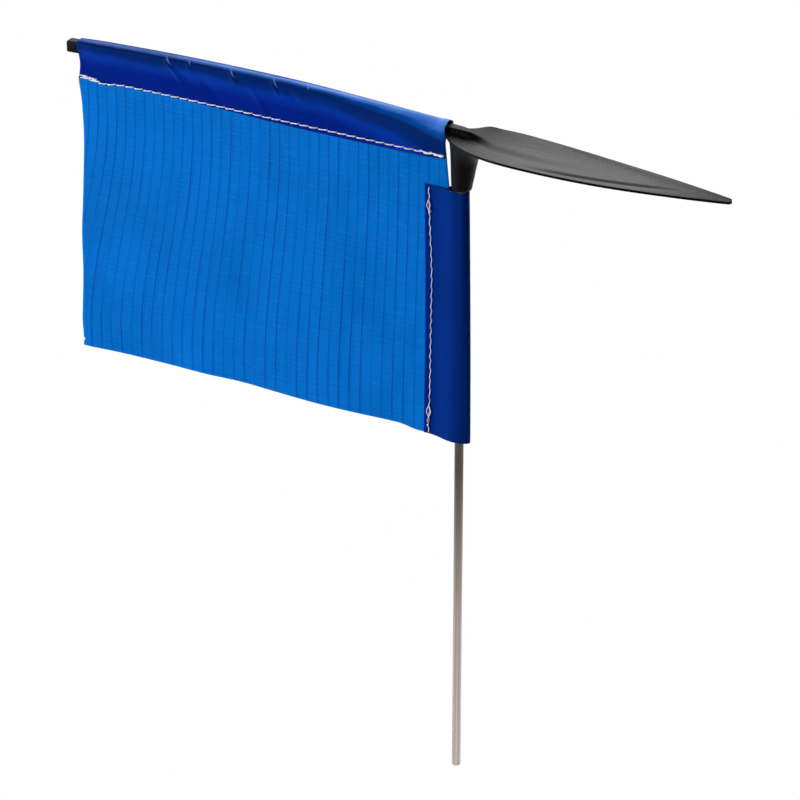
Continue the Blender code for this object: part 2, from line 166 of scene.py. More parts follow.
def drawn_steel(name, colour, dark_reflection_from=None, dark_reflection_to=None):
    """Stainless with fine lines along the wire and faint clouds. It can darken between two heights."""
    material, tree, shader = add_finish(name, Metallic=1.0, Specular_Tint=(0.35, 0.33, 0.31, 1))
    place = add_node(tree, "TexCoord").outputs["Object"]
    lines = scaled_noise(tree, place, (9000, 9000, 45), 3)
    clouds = scaled_noise(tree, place, (260, 260, 60), 2)
    both = worked(tree, "ADD", lines, clouds)
    darker = [channel * 0.82 for channel in colour]
    drawn = ramp_between(tree, lines, 0.3, 0.7, darker, colour)
    # Painted shade: the colour darkens up the rod between the two heights, for a darker reflection there.
    if dark_reflection_to:
        height = add_node(tree, "SeparateXYZ", {"Vector": place}).outputs["Z"]
        painted_dark_reflection = range_of(tree, height, dark_reflection_from, dark_reflection_to, 0.0, 0.75)
        drawn = mixed(tree, painted_dark_reflection, drawn, (0.045, 0.040, 0.036, 1))
    paint(tree, shader, drawn, range_of(tree, both, 0.7, 1.3, 0.12, 0.24))
    add_bump(tree, shader, lines, 0.000004)
    return material


ROD_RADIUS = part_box("pivot_rod")[1].x
ROD_TOP_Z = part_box("pivot_rod")[1].z
CLIP_LOW, CLIP_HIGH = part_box("retaining_clip")
FOOT_CHAMFER = 0.0002
POINT_HEIGHT = 0.0013
POINT_BLEND = 0.0002
POINT_RADIUS = 0.0003
GROOVE_DEPTH = 0.00035
GROOVE_PLAY = 0.00015
STEEL_COLOUR = (0.74, 0.665, 0.61)

groove_radius = ROD_RADIUS - GROOVE_DEPTH
groove_foot_z = CLIP_LOW.z - GROOVE_PLAY
groove_top_z = CLIP_HIGH.z + GROOVE_PLAY
shoulder_z = ROD_TOP_Z - POINT_HEIGHT
rod_outline = [
    (0, 0),
    (ROD_RADIUS - FOOT_CHAMFER, 0),
    (ROD_RADIUS, FOOT_CHAMFER),
    (ROD_RADIUS, groove_foot_z),
    (groove_radius, groove_foot_z),
    (groove_radius, groove_top_z),
    (ROD_RADIUS, groove_top_z),
    (ROD_RADIUS, shoulder_z - POINT_BLEND),
    (ROD_RADIUS - POINT_BLEND / 2, shoulder_z),
    (POINT_RADIUS, ROD_TOP_Z - POINT_BLEND),
    (POINT_RADIUS * 0.4, ROD_TOP_Z - POINT_BLEND * 0.2),
    (0, ROD_TOP_Z),
]
# The rod's colour darkens towards its top: painted shade.
steel = drawn_steel("drawn_stainless", STEEL_COLOUR, ROD_TOP_Z * 0.25, ROD_TOP_Z * 0.5)
add_piece("rod", spun(rod_outline), steel, "rod", "pivot_rod", 25)


# ---- Bearings ----
# An acetal bush pressed into the mouth of the hub runs on the rod, and a hard cup at the end of the bore
# takes the rod's point. A spring clip in the rod's groove keeps the head on. Only the bush's lip shows.


def smooth_plastic(name, colour):
    """Turned acetal: fine tool rings and a little unevenness in its gloss."""
    material, tree, shader = add_finish(name, Specular_IOR_Level=0.5)
    place = add_node(tree, "TexCoord").outputs["Object"]
    rings = scaled_noise(tree, place, (300, 300, 12000), 2)
    darker = [channel * 0.85 for channel in colour]
    ringed = ramp_between(tree, rings, 0.3, 0.7, darker, colour)
    paint(tree, shader, ringed, range_of(tree, rings, 0.3, 0.7, 0.28, 0.42))
    add_bump(tree, shader, rings, 0.000006)
    return material


BUSH_LOW, BUSH_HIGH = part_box("pivot_bush")
RUNNING_CLEARANCE = 0.00008
BUSH_WALL = 0.00055
BUSH_LIP = 0.0003
BUSH_BORE = ROD_RADIUS + RUNNING_CLEARANCE
BUSH_BODY = BUSH_BORE + BUSH_WALL
BUSH_LIP_TOP_Z = BUSH_LOW.z + BUSH_LIP
EDGE_BREAK = 0.00008

bush_outline = [
    (BUSH_BORE + EDGE_BREAK, BUSH_LOW.z),
    (BUSH_HIGH.x - EDGE_BREAK, BUSH_LOW.z),
    (BUSH_HIGH.x, BUSH_LOW.z + EDGE_BREAK),
    (BUSH_HIGH.x, BUSH_LIP_TOP_Z),
    (BUSH_BODY, BUSH_LIP_TOP_Z),
    (BUSH_BODY, BUSH_HIGH.z - EDGE_BREAK),
    (BUSH_BODY - EDGE_BREAK, BUSH_HIGH.z),
    (BUSH_BORE, BUSH_HIGH.z),
    (BUSH_BORE, BUSH_LOW.z + EDGE_BREAK),
]
acetal = smooth_plastic("grey_acetal", (0.42, 0.42, 0.41))
add_piece("bush", spun(bush_outline, ring=True), acetal, "vane", "pivot_bush", 25)
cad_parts["thrust_cup"].material_slots[0].material = acetal
spring_steel = drawn_steel("spring_steel", (0.33, 0.33, 0.34))
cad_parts["retaining_clip"].material_slots[0].material = spring_steel


# ---- Arrow ----
# One moulding in black glass-filled nylon: a square tail arm that is bowed a little upwards, a tapered hub
# with a blind bore, and a thin leaf-shaped nose blade. A fairing carries the arm's top out onto the blade.

ARROW_LOW, ARROW_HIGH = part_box("arrow_moulding")
HUB_FOOT_Z = ARROW_LOW.z
ARM_SIZE = 0.0035
ARM_CORNER = 0.0006
ARM_FRONT_X = -0.0004
ARM_AXIS_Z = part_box("thrust_cup")[1].z + 0.00245
BOW_RADIUS = 1.326
BOW_APEX_X = -0.0877

LEAF_REAR_X = -0.0042
LEAF_NOSE_X = ARROW_HIGH.x
LEAF_WIDEST_X = 0.0180
LEAF_HALF_WIDTH = ARROW_HIGH.y
LEAF_REAR_HALF = 0.0025
LEAF_TIP_RADIUS = 0.0010
LEAF_TAPER = 1.73
LEAF_EDGE_Z = ARM_AXIS_Z - 0.0039
LEAF_SWEEP = 0.0032
LEAF_THICKNESS = 0.00085
LEAF_EDGE_ROUND = 0.00028


def ease(low, high, value):
    """A smooth step from 0 to 1 between low and high."""
    share = min(1.0, max(0.0, (value - low) / (high - low)))
    return share * share * (3 - 2 * share)


def hill(distance, width):
    """A smooth hill, 1 at the middle, that has all but gone two widths out."""
    return math.exp(-((distance / width) ** 2))


def arm_axis_z(x):
    """Height of the arm's centre line."""
    rise = BOW_APEX_X**2 - (x - BOW_APEX_X) ** 2
    return ARM_AXIS_Z + rise / (2 * BOW_RADIUS)


def leaf_half_width(x):
    """Half width of the leaf: elliptical at the rear, a slow taper forward, and a small round nose."""
    if x < LEAF_WIDEST_X:
        share = LEAF_REAR_HALF / LEAF_HALF_WIDTH
        reach = (LEAF_WIDEST_X - LEAF_REAR_X) / math.sqrt(1 - share**2)
        return LEAF_HALF_WIDTH * math.sqrt(1 - ((LEAF_WIDEST_X - x) / reach) ** 2)
    fall = ((x - LEAF_WIDEST_X) / (LEAF_NOSE_X - LEAF_WIDEST_X)) ** LEAF_TAPER
    half = LEAF_TIP_RADIUS + (LEAF_HALF_WIDTH - LEAF_TIP_RADIUS) * (1 - fall)
    to_nose = LEAF_NOSE_X - x
    if to_nose < LEAF_TIP_RADIUS:
        half *= math.sqrt(max(0.0, 1 - (1 - to_nose / LEAF_TIP_RADIUS) ** 2))
    return half


def leaf_edge_z(x):
    """Height of the leaf's upper edge: it leaves the hub nose-down and sweeps out level."""
    sweep = LEAF_SWEEP * max(0.0, 1 - x / LEAF_NOSE_X) ** 2
    return LEAF_EDGE_Z + sweep + 0.0002 * ease(0.045, 0.075, x)


INNER_LEAF_REAR_X = 0.020
INNER_LEAF_LENGTH = 0.059
INNER_LEAF_HALF_WIDTH = 0.0096
FAIRING_FRONT_X = 0.056
RIB_Y = -0.0029


def leaf_crown(x, y):
    """The raised inner leaf, and the shallow channel between it and the rim."""
    half = leaf_half_width(x)
    forward = max(0.0, x - INNER_LEAF_REAR_X) / INNER_LEAF_LENGTH
    inner = INNER_LEAF_HALF_WIDTH * (1 - min(1.0, forward) ** 1.6)
    fade = ease(0.022, 0.040, x) * ease(0.0, 0.004, inner)
    rise = 0.00022 * max(0.0, 1 - (y / half) ** 2) * ease(0.0, 0.003, half)
    crown = 0.00022 * (1 - ease(inner - 0.0016, inner + 0.0002, abs(y)))
    room = ease(0.0, 0.0016, half - abs(y))
    channel = 0.00014 * hill(abs(y) - inner - 0.0002, 0.0008) * room
    return rise + (crown - channel) * fade


def leaf_fairing(x, y):
    """The fairing ahead of the arm: square like the arm at first, then a low swelling that runs out."""
    if x < -0.0012 or x > FAIRING_FRONT_X:
        return 0.0
    half = 0.00165 + 0.0022 * ease(0.003, 0.014, x) - 0.0022 * ease(0.028, FAIRING_FRONT_X, x)
    height = 0.0018 * (1 - ease(0.0002, 0.0125, x)) + 0.00045 * (1 - ease(0.008, FAIRING_FRONT_X, x))
    soft = 0.0003 + 0.0024 * ease(-0.001, 0.012, x)
    return height * (1 - ease(half - soft, half + soft * 0.5, abs(y)))


def leaf_top(x, y):
    """The upper face above the edge, with a short rib beside the arm and a raised far edge."""
    rise = leaf_crown(x, y) + leaf_fairing(x, y)
    rib_ends = ease(LEAF_REAR_X, LEAF_REAR_X + 0.0006, x) * (1 - ease(0.0004, 0.0016, x))
    rib = 0.00034 * hill(y - RIB_Y, 0.0003) * rib_ends
    far_edge = 0.0004 * ease(0.002, 0.009, x) + 0.0006 * hill(x - 0.0054, 0.0026)
    far_edge -= 0.0004 * hill(x, 0.0026)
    lift = far_edge * max(0.0, y / max(leaf_half_width(x), 0.0005)) ** 2
    return rise + rib + lift


def make_leaf(along=240, across=128):
    """The blade as a grid that is extruded to give it an underside, then moulded to shape."""
    bm = bmesh.new()
    bmesh.ops.create_grid(bm, x_segments=along, y_segments=across, size=0.5)
    raised = bmesh.ops.extrude_face_region(bm, geom=bm.faces[:])["geom"]
    top = {v for v in raised if isinstance(v, bmesh.types.BMVert)}
    for v in bm.verts:
        along_it = v.co.x + 0.5
        share = 0.6 * along_it**1.5 + 0.4 * (0.5 - 0.5 * math.cos(math.pi * along_it))
        x = LEAF_REAR_X + (LEAF_NOSE_X - 1e-6 - LEAF_REAR_X) * share
        half = leaf_half_width(x)
        y = half * (0.7 * 2 * v.co.y + 0.3 * math.sin(math.pi * v.co.y))
        edge_round = min(LEAF_EDGE_ROUND, half * 0.6)
        into_edge = max(0.0, edge_round - (half - abs(y)))
        rounding = edge_round - math.sqrt(max(0.0, edge_round**2 - into_edge**2))
        z = leaf_edge_z(x)
        if v in top:
            z += leaf_top(x, y) - rounding
        else:
            hollow = 0.00012 * (1 - (y / max(half, 1e-6)) ** 2)
            z += hollow + rounding - LEAF_THICKNESS
        v.co = (x, y, z)
    return bm


ARM_END_ROUND = 0.0005
ARM_OVERRUN = 0.0002
ARM_CUTS = 60


def make_arm():
    """The square arm, cut into short lengths, with rounded corners: bowed, and a little taller aft."""
    bm = bmesh.new()
    length = ARM_FRONT_X - ARROW_LOW.x + ARM_OVERRUN
    size = Matrix.Diagonal((length, ARM_SIZE, ARM_SIZE, 1))
    bmesh.ops.create_cube(bm, size=1.0, matrix=Matrix.Translation((length / 2, 0, 0)) @ size)
    long_edges = [e for e in bm.edges if abs(e.verts[0].co.x - e.verts[1].co.x) > length / 2]
    bmesh.ops.bevel(
        bm, geom=long_edges, offset=ARM_CORNER, affect="EDGES", segments=4, profile=0.5, material=-1
    )
    end_edges = [e for e in bm.edges if all(v.co.x < 1e-6 for v in e.verts)]
    bmesh.ops.bevel(
        bm, geom=end_edges, offset=ARM_END_ROUND, affect="EDGES", segments=3, profile=0.5, material=-1
    )
    for i in range(1, ARM_CUTS):
        cut_x = 2 * ARM_END_ROUND + (length - 4 * ARM_END_ROUND) * i / ARM_CUTS
        everything = bm.verts[:] + bm.edges[:] + bm.faces[:]
        bmesh.ops.bisect_plane(bm, geom=everything, plane_co=(cut_x, 0, 0), plane_no=(1, 0, 0))
    for v in bm.verts:
        x = v.co.x + ARROW_LOW.x - ARM_OVERRUN
        taller = 1 - ease(-0.060, -0.006, x)
        v.co = (x, v.co.y, v.co.z * (1 + 0.15 * taller) + arm_axis_z(x) + 0.0003 * taller)
    return bm


HUB_TOP_Z = LEAF_EDGE_Z + LEAF_SWEEP - LEAF_THICKNESS / 2
PRESS_GAP = 0.00005
HUB_BORE_TOP_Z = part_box("thrust_cup")[1].z + PRESS_GAP
HUB_BORE_RADIUS = BUSH_BODY + PRESS_GAP
HUB_MOUTH_CHAMFER = 0.0002
HUB_WALL = 0.0011
HUB_LEAN = 0.088
HUB_DRAFT = 0.108
HUB_FOOT_ROUND = 0.0006
HUB_FLARE_HEIGHT = 0.0084
HUB_FLARE = 0.0027


def hub_ring(z):
    """(centre x, radius) of the hub's outside at a height: it leans forward and flares into the blade."""
    rise = z - HUB_FOOT_Z
    flare = HUB_FLARE * (max(0.0, z - HUB_TOP_Z + HUB_FLARE_HEIGHT) / HUB_FLARE_HEIGHT) ** 2
    return HUB_LEAN * rise + flare, HUB_BORE_RADIUS + HUB_WALL + HUB_DRAFT * rise + flare


def make_hub():
    """The socket as one skin: up the bore's wall first, then round the foot and up the outside."""
    rings = [
        (0, HUB_BORE_RADIUS, HUB_BORE_TOP_Z),
        (0, HUB_BORE_RADIUS, HUB_FOOT_Z + HUB_MOUTH_CHAMFER),
        (0, HUB_BORE_RADIUS + HUB_MOUTH_CHAMFER, HUB_FOOT_Z),
    ]
    for i in range(5):
        angle = math.pi / 2 * i / 4
        z = HUB_FOOT_Z + HUB_FOOT_ROUND * (1 - math.cos(angle))
        centre, radius = hub_ring(z)
        rings.append((centre, radius - HUB_FOOT_ROUND * (1 - math.sin(angle)), z))
    for i in range(1, 25):
        z = HUB_FOOT_Z + HUB_FOOT_ROUND + (HUB_TOP_Z - HUB_FOOT_Z - HUB_FOOT_ROUND) * i / 24
        rings.append((*hub_ring(z), z))
    bm = bmesh.new()
    edge = bmesh.ops.create_circle(bm, segments=72, radius=rings[0][1], cap_ends=True)["verts"]
    bmesh.ops.translate(bm, verts=edge, vec=(rings[0][0], 0, rings[0][2]))
    loop = bm.edges[:]
    for (x0, r0, z0), (x1, r1, z1) in zip(rings, rings[1:]):
        grown = bmesh.ops.extrude_edge_only(bm, edges=loop)["geom"]
        loop = [e for e in grown if isinstance(e, bmesh.types.BMEdge)]
        for v in (v for v in grown if isinstance(v, bmesh.types.BMVert)):
            x = x1 + (v.co.x - x0) * r1 / r0
            v.co = (x, v.co.y * r1 / r0, min(z1, leaf_edge_z(x) - LEAF_THICKNESS / 2))
    bmesh.ops.holes_fill(bm, edges=loop, sides=0)
    return bm


def moulded_nylon(name):
    """Black moulded nylon with a fine spark-eroded grain and faint flow marks, duller at its ends."""
    material, tree, shader = add_finish(name, IOR=1.42, Specular_Tint=(0.05, 0.05, 0.05, 1))
    place = add_node(tree, "TexCoord").outputs["Object"]
    grain = scaled_noise(tree, place, (2800, 2800, 2800), 3)
    flow = scaled_noise(tree, place, (55, 320, 320), 3)
    colour = ramp_between(tree, flow, 0.35, 0.7, (0.0010, 0.0010, 0.0010), (0.0022, 0.0021, 0.0020))
    split = add_node(tree, "SeparateXYZ", {"Vector": place}).outputs
    root = range_of(tree, split["X"], 0.000, 0.022, 0.16, 0.0)
    tip = range_of(tree, split["X"], 0.060, 0.088, 0.0, 0.18)
    far = range_of(tree, split["Y"], -0.003, 0.006, 0.0, 0.08)
    edges = worked(tree, "ADD", worked(tree, "ADD", root, tip), far)
    worn = range_of(tree, grain, 0.3, 0.7, 0.31, 0.42)
    paint(tree, shader, colour, worked(tree, "ADD", worn, edges))
    add_bump(tree, shader, grain, 0.000030, 0.8)
    return material


def union_of(name, solids):
    """The meshes of several overlapping solids, joined into one skin."""
    made = [add_object(name + str(i), closed_mesh(name + str(i), bm)) for i, bm in enumerate(solids)]
    for solid in made[1:]:
        join = made[0].modifiers.new("Join", "BOOLEAN")
        join.operation = "UNION"
        join.object = solid
    whole = made[0].evaluated_get(bpy.context.evaluated_depsgraph_get())
    bm = bmesh.new()
    bm.from_mesh(whole.to_mesh())
    whole.to_mesh_clear()
    for solid in made:
        bpy.data.objects.remove(solid, do_unlink=True)
    return bm


nylon = moulded_nylon("black_nylon")
arrow_skin = union_of("arrow_part", [make_leaf(), make_hub(), make_arm()])
add_piece("arrow", arrow_skin, nylon, "vane", "arrow_moulding", 32)


# ---- Flag panel ----
# A single layer of light blue coated ripstop nylon, cut with a hot knife. Its head is caught between the
# edges of the head sleeve, and its luff between those of the luff sleeve. The free cloth ripples a little.

PANEL_LOW, PANEL_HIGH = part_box("flag_panel")
PANEL_THICKNESS = 0.00014
SEAM_ALLOWANCE = 0.0028
HEAD_SEAM_Z = PANEL_HIGH.z - SEAM_ALLOWANCE
LUFF_TOP_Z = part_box("luff_sleeve")[1].z
LUFF_REAR_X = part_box("luff_sleeve")[0].x
LEECH_TOP_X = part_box("head_sleeve")[0].x
LEECH_RAKE = LEECH_TOP_X - PANEL_LOW.x


def cloth(name, grid, size, place, finishes, thickness, offset, node, weave=None):
    """A piece of cloth: a fine grid laid out by place(share, share), given its thickness by Solidify.

    Its UV map is in metres on the flat cloth, or by weave(place) where the cut runs across the yarns. The
    first finish is on its faces, and the second is on its cut edges.
    """
    bm = bmesh.new()
    bmesh.ops.create_grid(bm, x_segments=grid[0], y_segments=grid[1], size=0.5)
    flat = bm.loops.layers.uv.new("flat")
    for face in bm.faces:
        for loop in face.loops:
            s, t = loop.vert.co.x + 0.5, loop.vert.co.y + 0.5
            loop[flat].uv = weave(*place(s, t)) if weave else (s * size[0], t * size[1])
    for v in bm.verts:
        v.co = place(v.co.x + 0.5, v.co.y + 0.5)
    mesh = bpy.data.meshes.new(name)
    bm.to_mesh(mesh)
    bm.free()
    for finish in finishes:
        mesh.materials.append(finish)
    mesh.shade_smooth()
    piece = add_object(name, mesh)
    wall = piece.modifiers.new("Thickness", "SOLIDIFY")
    wall.thickness = thickness
    wall.offset = offset
    wall.use_even_offset = True
    wall.material_offset_rim = 1
    return stand_for(piece, "vane", node)


def panel_foot_z(x):
    """The foot is cut straight, and the luff sleeve's stitching pulls its front end down a little."""
    sagging = 0.00028 * hill(x + 0.111, 0.016)
    return PANEL_LOW.z - 0.0002 - sagging - 0.0011 * ease(-0.023, -0.015, x)


def panel_luff_x(z):
    """The luff is cut back a little above the luff sleeve."""
    return PANEL_HIGH.x + 0.0003 - 0.10 * max(0.0, z - LUFF_TOP_Z)


def panel_leech_x(z):
    """The leech rakes back towards the foot, and its corner is nicked where the knife lifted."""
    down = (HEAD_SEAM_Z - z) / (HEAD_SEAM_Z - PANEL_LOW.z)
    nick = 0.0006 * hill(z - PANEL_LOW.z - 0.0022, 0.0005)
    pulled = 0.0009 * hill(z - HEAD_SEAM_Z, 0.006) + 0.0003 * hill(z - PANEL_LOW.z - 0.009, 0.004)
    tucked = 0.0014 * ease(-0.0006, 0.0012, z - HEAD_SEAM_Z)
    return LEECH_TOP_X - 0.0001 - LEECH_RAKE * down + nick - pulled + tucked


def panel_y(x, z):
    """Ripples of the free cloth, which the seams hold flat. The foot's run across the others."""
    below_seam = ease(0.0, 0.012, HEAD_SEAM_Z - z)
    behind_seam = ease(0.0, 0.020, LUFF_REAR_X - x)
    aft = 0.25 + 0.75 * (1 - ease(-0.14, -0.03, x))
    slant = z + 0.18 * (x + 0.14)
    waves = 0.0013 * hill(slant - 0.206, 0.018) - 0.0008 * hill(slant - 0.171, 0.012)
    waves -= 0.0012 * hill(slant - 0.143, 0.010)
    foot = 0.0009 * hill(x + 0.114, 0.015) + 0.0007 * hill(x + 0.082, 0.011)
    foot -= 0.0011 * hill(x + 0.048, 0.016) + 0.0006 * hill(x + 0.143, 0.008)
    near_foot = 1 - ease(PANEL_LOW.z, PANEL_LOW.z + 0.024, z)
    crumple = 0.00030 * noise.noise(Vector((x * 55, z * 70, 3.1)))
    lie = waves * aft * (1 - near_foot) + foot * near_foot
    return (lie + crumple) * below_seam * behind_seam


def panel_weave(x, y, z):
    """Where a place on the panel lies in the weave: the warp swings aft on its way down the free cloth."""
    swing = 0.10 * -x * (1 - ease(0.135, 0.225, z))
    return PANEL_HIGH.x - x - 0.4 * y - swing, PANEL_HIGH.z - z


def panel_point(s, t):
    """s runs from the luff to the leech, and t from the head to the foot."""
    guess_x = PANEL_HIGH.x + (PANEL_LOW.x - PANEL_HIGH.x) * s
    z = PANEL_HIGH.z + (panel_foot_z(guess_x) - PANEL_HIGH.z) * t
    x = panel_luff_x(z) + (panel_leech_x(z) - panel_luff_x(z)) * s
    return x, panel_y(x, z), z


WARP_PITCH = 0.0018
WARP_WIDTH = 0.00032
TWIN_WIDTH = 0.00018
TWIN_SHIFT = 0.0007
WEFT_PITCH = 0.0009
WEFT_WIDTH = 0.00030
WARP_SWAY = 0.0006


def yarn_lines(tree, value, pitch, width, shift=0.0):
    """1 on thin lines along one direction of the cloth, two pitches apart, and 0 between them."""
    near = worked(tree, "PINGPONG", worked(tree, "ADD", value, shift), pitch)
    return range_of(tree, near, 0.0, width, 1.0, 0.0)


def ripstop(name, cloth_colour, yarn_colour, slub_colour):
    """Coated ripstop: thick yarns in a grid, the plain weave between them, and pale slubs in the weft."""
    material, tree, shader = add_finish(name, Specular_IOR_Level=0.02)
    flat = add_node(tree, "UVMap", uv_map="flat").outputs["UV"]
    wander = scaled_noise(tree, flat, (120, 25, 1), 1)
    split = add_node(tree, "SeparateXYZ", {"Vector": flat}).outputs
    sway = worked(tree, "MULTIPLY_ADD", wander, WARP_SWAY, split["X"])
    warp = yarn_lines(tree, sway, WARP_PITCH, WARP_WIDTH)
    twin = yarn_lines(tree, sway, WARP_PITCH, TWIN_WIDTH, TWIN_SHIFT)
    weft = yarn_lines(tree, split["Y"], WEFT_PITCH, WEFT_WIDTH)
    by_line = scaled_noise(tree, flat, (290, 18, 1), 1)
    strong = range_of(tree, by_line, 0.35, 0.65, 0.35, 1.0)
    paired = range_of(tree, by_line, 0.52, 0.66, 0.0, 0.6)
    warp_seen = worked(tree, "MULTIPLY", warp, strong)
    twin_seen = worked(tree, "MULTIPLY", twin, paired)
    warp_dark = worked(tree, "MAXIMUM", warp_seen, twin_seen)
    by_row = scaled_noise(tree, flat, (14, 330, 1), 1)
    faint = range_of(tree, by_row, 0.35, 0.70, 0.04, 0.34)
    weft_seen = worked(tree, "MULTIPLY", weft, faint)
    dark = worked(tree, "MAXIMUM", warp_dark, weft_seen)
    slub = scaled_noise(tree, flat, (150, 2300, 1), 3)
    slub_seen = range_of(tree, slub, 0.56, 0.80, 0.0, 0.6)
    weave = scaled_noise(tree, flat, (4200, 4200, 1), 1)
    tone = scaled_noise(tree, flat, (38, 26, 1), 3)
    low = [channel * 0.88 for channel in cloth_colour]
    high = [min(1, channel * 1.08) for channel in cloth_colour]
    streaks = scaled_noise(tree, flat, (1900, 60, 1), 2)
    streaky = worked(tree, "MULTIPLY_ADD", streaks, 0.8, tone)
    ground = ramp_between(tree, streaky, 0.6, 1.2, low, high)
    lined = mixed(tree, dark, ground, (*yarn_colour, 1))
    slubbed = mixed(tree, slub_seen, lined, (*slub_colour, 1))
    paint(tree, shader, slubbed, range_of(tree, tone, 0.3, 0.7, 0.42, 0.56))
    grid = worked(tree, "MAXIMUM", dark, weft)
    height = worked(tree, "MULTIPLY_ADD", weave, 0.35, grid)
    add_bump(tree, shader, height, 0.00003, 0.7)
    return material


def cut_edge(name, colour):
    """The melted edge that a hot knife leaves: harder, paler and a little uneven."""
    material, tree, shader = add_finish(name, Specular_IOR_Level=0.4)
    place = add_node(tree, "TexCoord").outputs["Object"]
    beads = scaled_noise(tree, place, (1500, 1500, 1500), 2)
    darker = [channel * 0.7 for channel in colour]
    beaded = ramp_between(tree, beads, 0.35, 0.65, darker, colour)
    paint(tree, shader, beaded, range_of(tree, beads, 0.3, 0.7, 0.35, 0.6))
    add_bump(tree, shader, beads, 0.00003)
    return material


PANEL_SIZE = (PANEL_HIGH.x - PANEL_LOW.x, PANEL_HIGH.z - PANEL_LOW.z)
ripstop_blue = ripstop("light_blue_ripstop", (0.0, 0.150, 0.58), (0.0, 0.040, 0.28), (0.01, 0.24, 0.72))
panel_edge = cut_edge("light_blue_cut_edge", (0.10, 0.26, 0.70))
panel_finishes = (ripstop_blue, panel_edge)
panel = cloth(
    "panel_cloth", (220, 170), PANEL_SIZE, panel_point, panel_finishes, PANEL_THICKNESS, 0.0,
    "flag_panel", panel_weave,
)


# ---- Head sleeve ----
# A strip of dark blue cloth with a glossy coating, folded over the tail arm. Its two edges lie on either
# side of the panel's head and are sewn through it. Folding it over the arm has left a few sharp creases.

SLEEVE_LOW, SLEEVE_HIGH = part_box("head_sleeve")
SLEEVE_THICKNESS = 0.00022
FOLD_RADIUS = 0.0010
FLAP_OFFSET = 0.0002
STITCH_PITCH = 0.00341
PINCH_DEPTH = 0.00006


def head_seam_z(x):
    """The seam runs down towards the hub, and sags a little at the tail."""
    sag = 0.0002 * (1 - ease(-0.142, -0.118, x)) + 0.0008 * hill(x + 0.1312, 0.0046)
    return HEAD_SEAM_Z - 0.00055 * ease(-0.125, 0.0, x) - sag


def head_edge_z(x):
    """The strip's cut edge wanders away from the stitches in the front half and back to them."""
    margin = 0.0004 + 0.0013 * ease(-0.115, -0.050, x) * (1 - 0.5 * ease(-0.014, -0.004, x))
    return head_seam_z(x) - margin


# Each crease runs from one place to another, each an x and a share of the way down the side. It has a width
# and a height, which is negative where the cloth is creased inwards.
SLEEVE_SIDE = 0.012
CREASES = (
    (-0.1008, 0.60, -0.1062, 0.14, 0.0006, 0.00036),
    (-0.0960, 0.36, -0.0978, 0.12, 0.0005, 0.00022),
    (-0.0796, 0.36, -0.0822, 0.12, 0.0006, 0.00036),
    (-0.0690, 0.95, -0.0750, 0.32, 0.0009, 0.00026),
    (-0.0646, 0.38, -0.0666, 0.12, 0.0006, 0.00036),
    (-0.0575, 0.45, -0.0610, 0.22, 0.0010, -0.00022),
    (-0.0975, 0.55, -0.1040, 0.22, 0.0009, -0.00024),
    (-0.0860, 0.90, -0.0930, 0.45, 0.0012, -0.00022),
)


def crease(x, q, foot_x, foot_q, top_x, top_q, width, height):
    """How far one sharp fold line pushes the cloth out at a place on the sleeve."""
    run_x, run_q = top_x - foot_x, (top_q - foot_q) * SLEEVE_SIDE
    away_x, away_q = x - foot_x, (q - foot_q) * SLEEVE_SIDE
    length = math.hypot(run_x, run_q)
    along = (away_x * run_x + away_q * run_q) / length**2
    aside = (away_x * run_q - away_q * run_x) / length
    ends = ease(-0.15, 0.2, along) * (1 - ease(0.75, 1.15, along))
    return height * ends * math.exp(-abs(aside / width) ** 1.5)


def head_sleeve_shape(x, q, side):
    """A point on the sleeve's inner face: q is 0 on the fold above the arm and 1 at the sewn edge."""
    hubward = ease(-0.062, -0.012, x)
    out_c = 0.00135 + 0.00035 * hubward - 0.00045 * (1 - ease(-0.1425, -0.130, x))
    up_c = 0.00165 + 0.00015 * ease(-0.142, -0.100, x) - 0.00085 * hubward
    crown = 0.0001 + 0.00065 * hubward
    centre_z = arm_axis_z(x)
    drop = centre_z - head_edge_z(x)
    to_edge = Vector((FLAP_OFFSET - out_c, -drop - up_c))
    lean = math.atan2(to_edge.y, to_edge.x) + math.acos(FOLD_RADIUS / to_edge.length)
    touch = Vector((math.cos(lean), math.sin(lean))) * FOLD_RADIUS + Vector((out_c, up_c))
    edge = Vector((FLAP_OFFSET, -drop))
    arc_length = FOLD_RADIUS * (math.pi / 2 - lean)
    flap_length = (edge - touch).length
    run = q * (out_c + arc_length + flap_length)
    swell = 0.0
    if run < out_c:
        out, up = run, up_c + FOLD_RADIUS + crown * (1 - (run / out_c) ** 2)
        normal = Vector((2 * crown * run / out_c**2, 1)).normalized()
    elif run < out_c + arc_length:
        angle = math.pi / 2 - (run - out_c) / FOLD_RADIUS
        normal = Vector((math.cos(angle), math.sin(angle)))
        out, up = Vector((out_c, up_c)) + normal * FOLD_RADIUS
    else:
        share = (run - out_c - arc_length) / flap_length
        out, up = touch.lerp(edge, share)
        normal = Vector((math.cos(lean), math.sin(lean)))
        swell = 0.00040 * math.sin(math.pi * share) * noise.noise(Vector((x * 28, share, side * 4.0)))
        swell -= 0.00030 * math.sin(math.pi * share) ** 2
    folds = sum(crease(x, q, *line) for line in CREASES)
    if side > 0:
        folds *= 0.5
    seam_q = 1 - (head_seam_z(x) - head_edge_z(x)) / (out_c + arc_length + flap_length)
    pinch = PINCH_DEPTH * hill(q - seam_q, 0.05) * (0.5 + 0.5 * math.cos(math.tau * x / STITCH_PITCH))
    push = folds + swell - pinch + 0.0003 * ease(SLEEVE_HIGH.x - 0.0030, SLEEVE_HIGH.x, x) * (1 - q)
    return Vector((x, side * (out + push * normal.x), centre_z + up + push * normal.y))


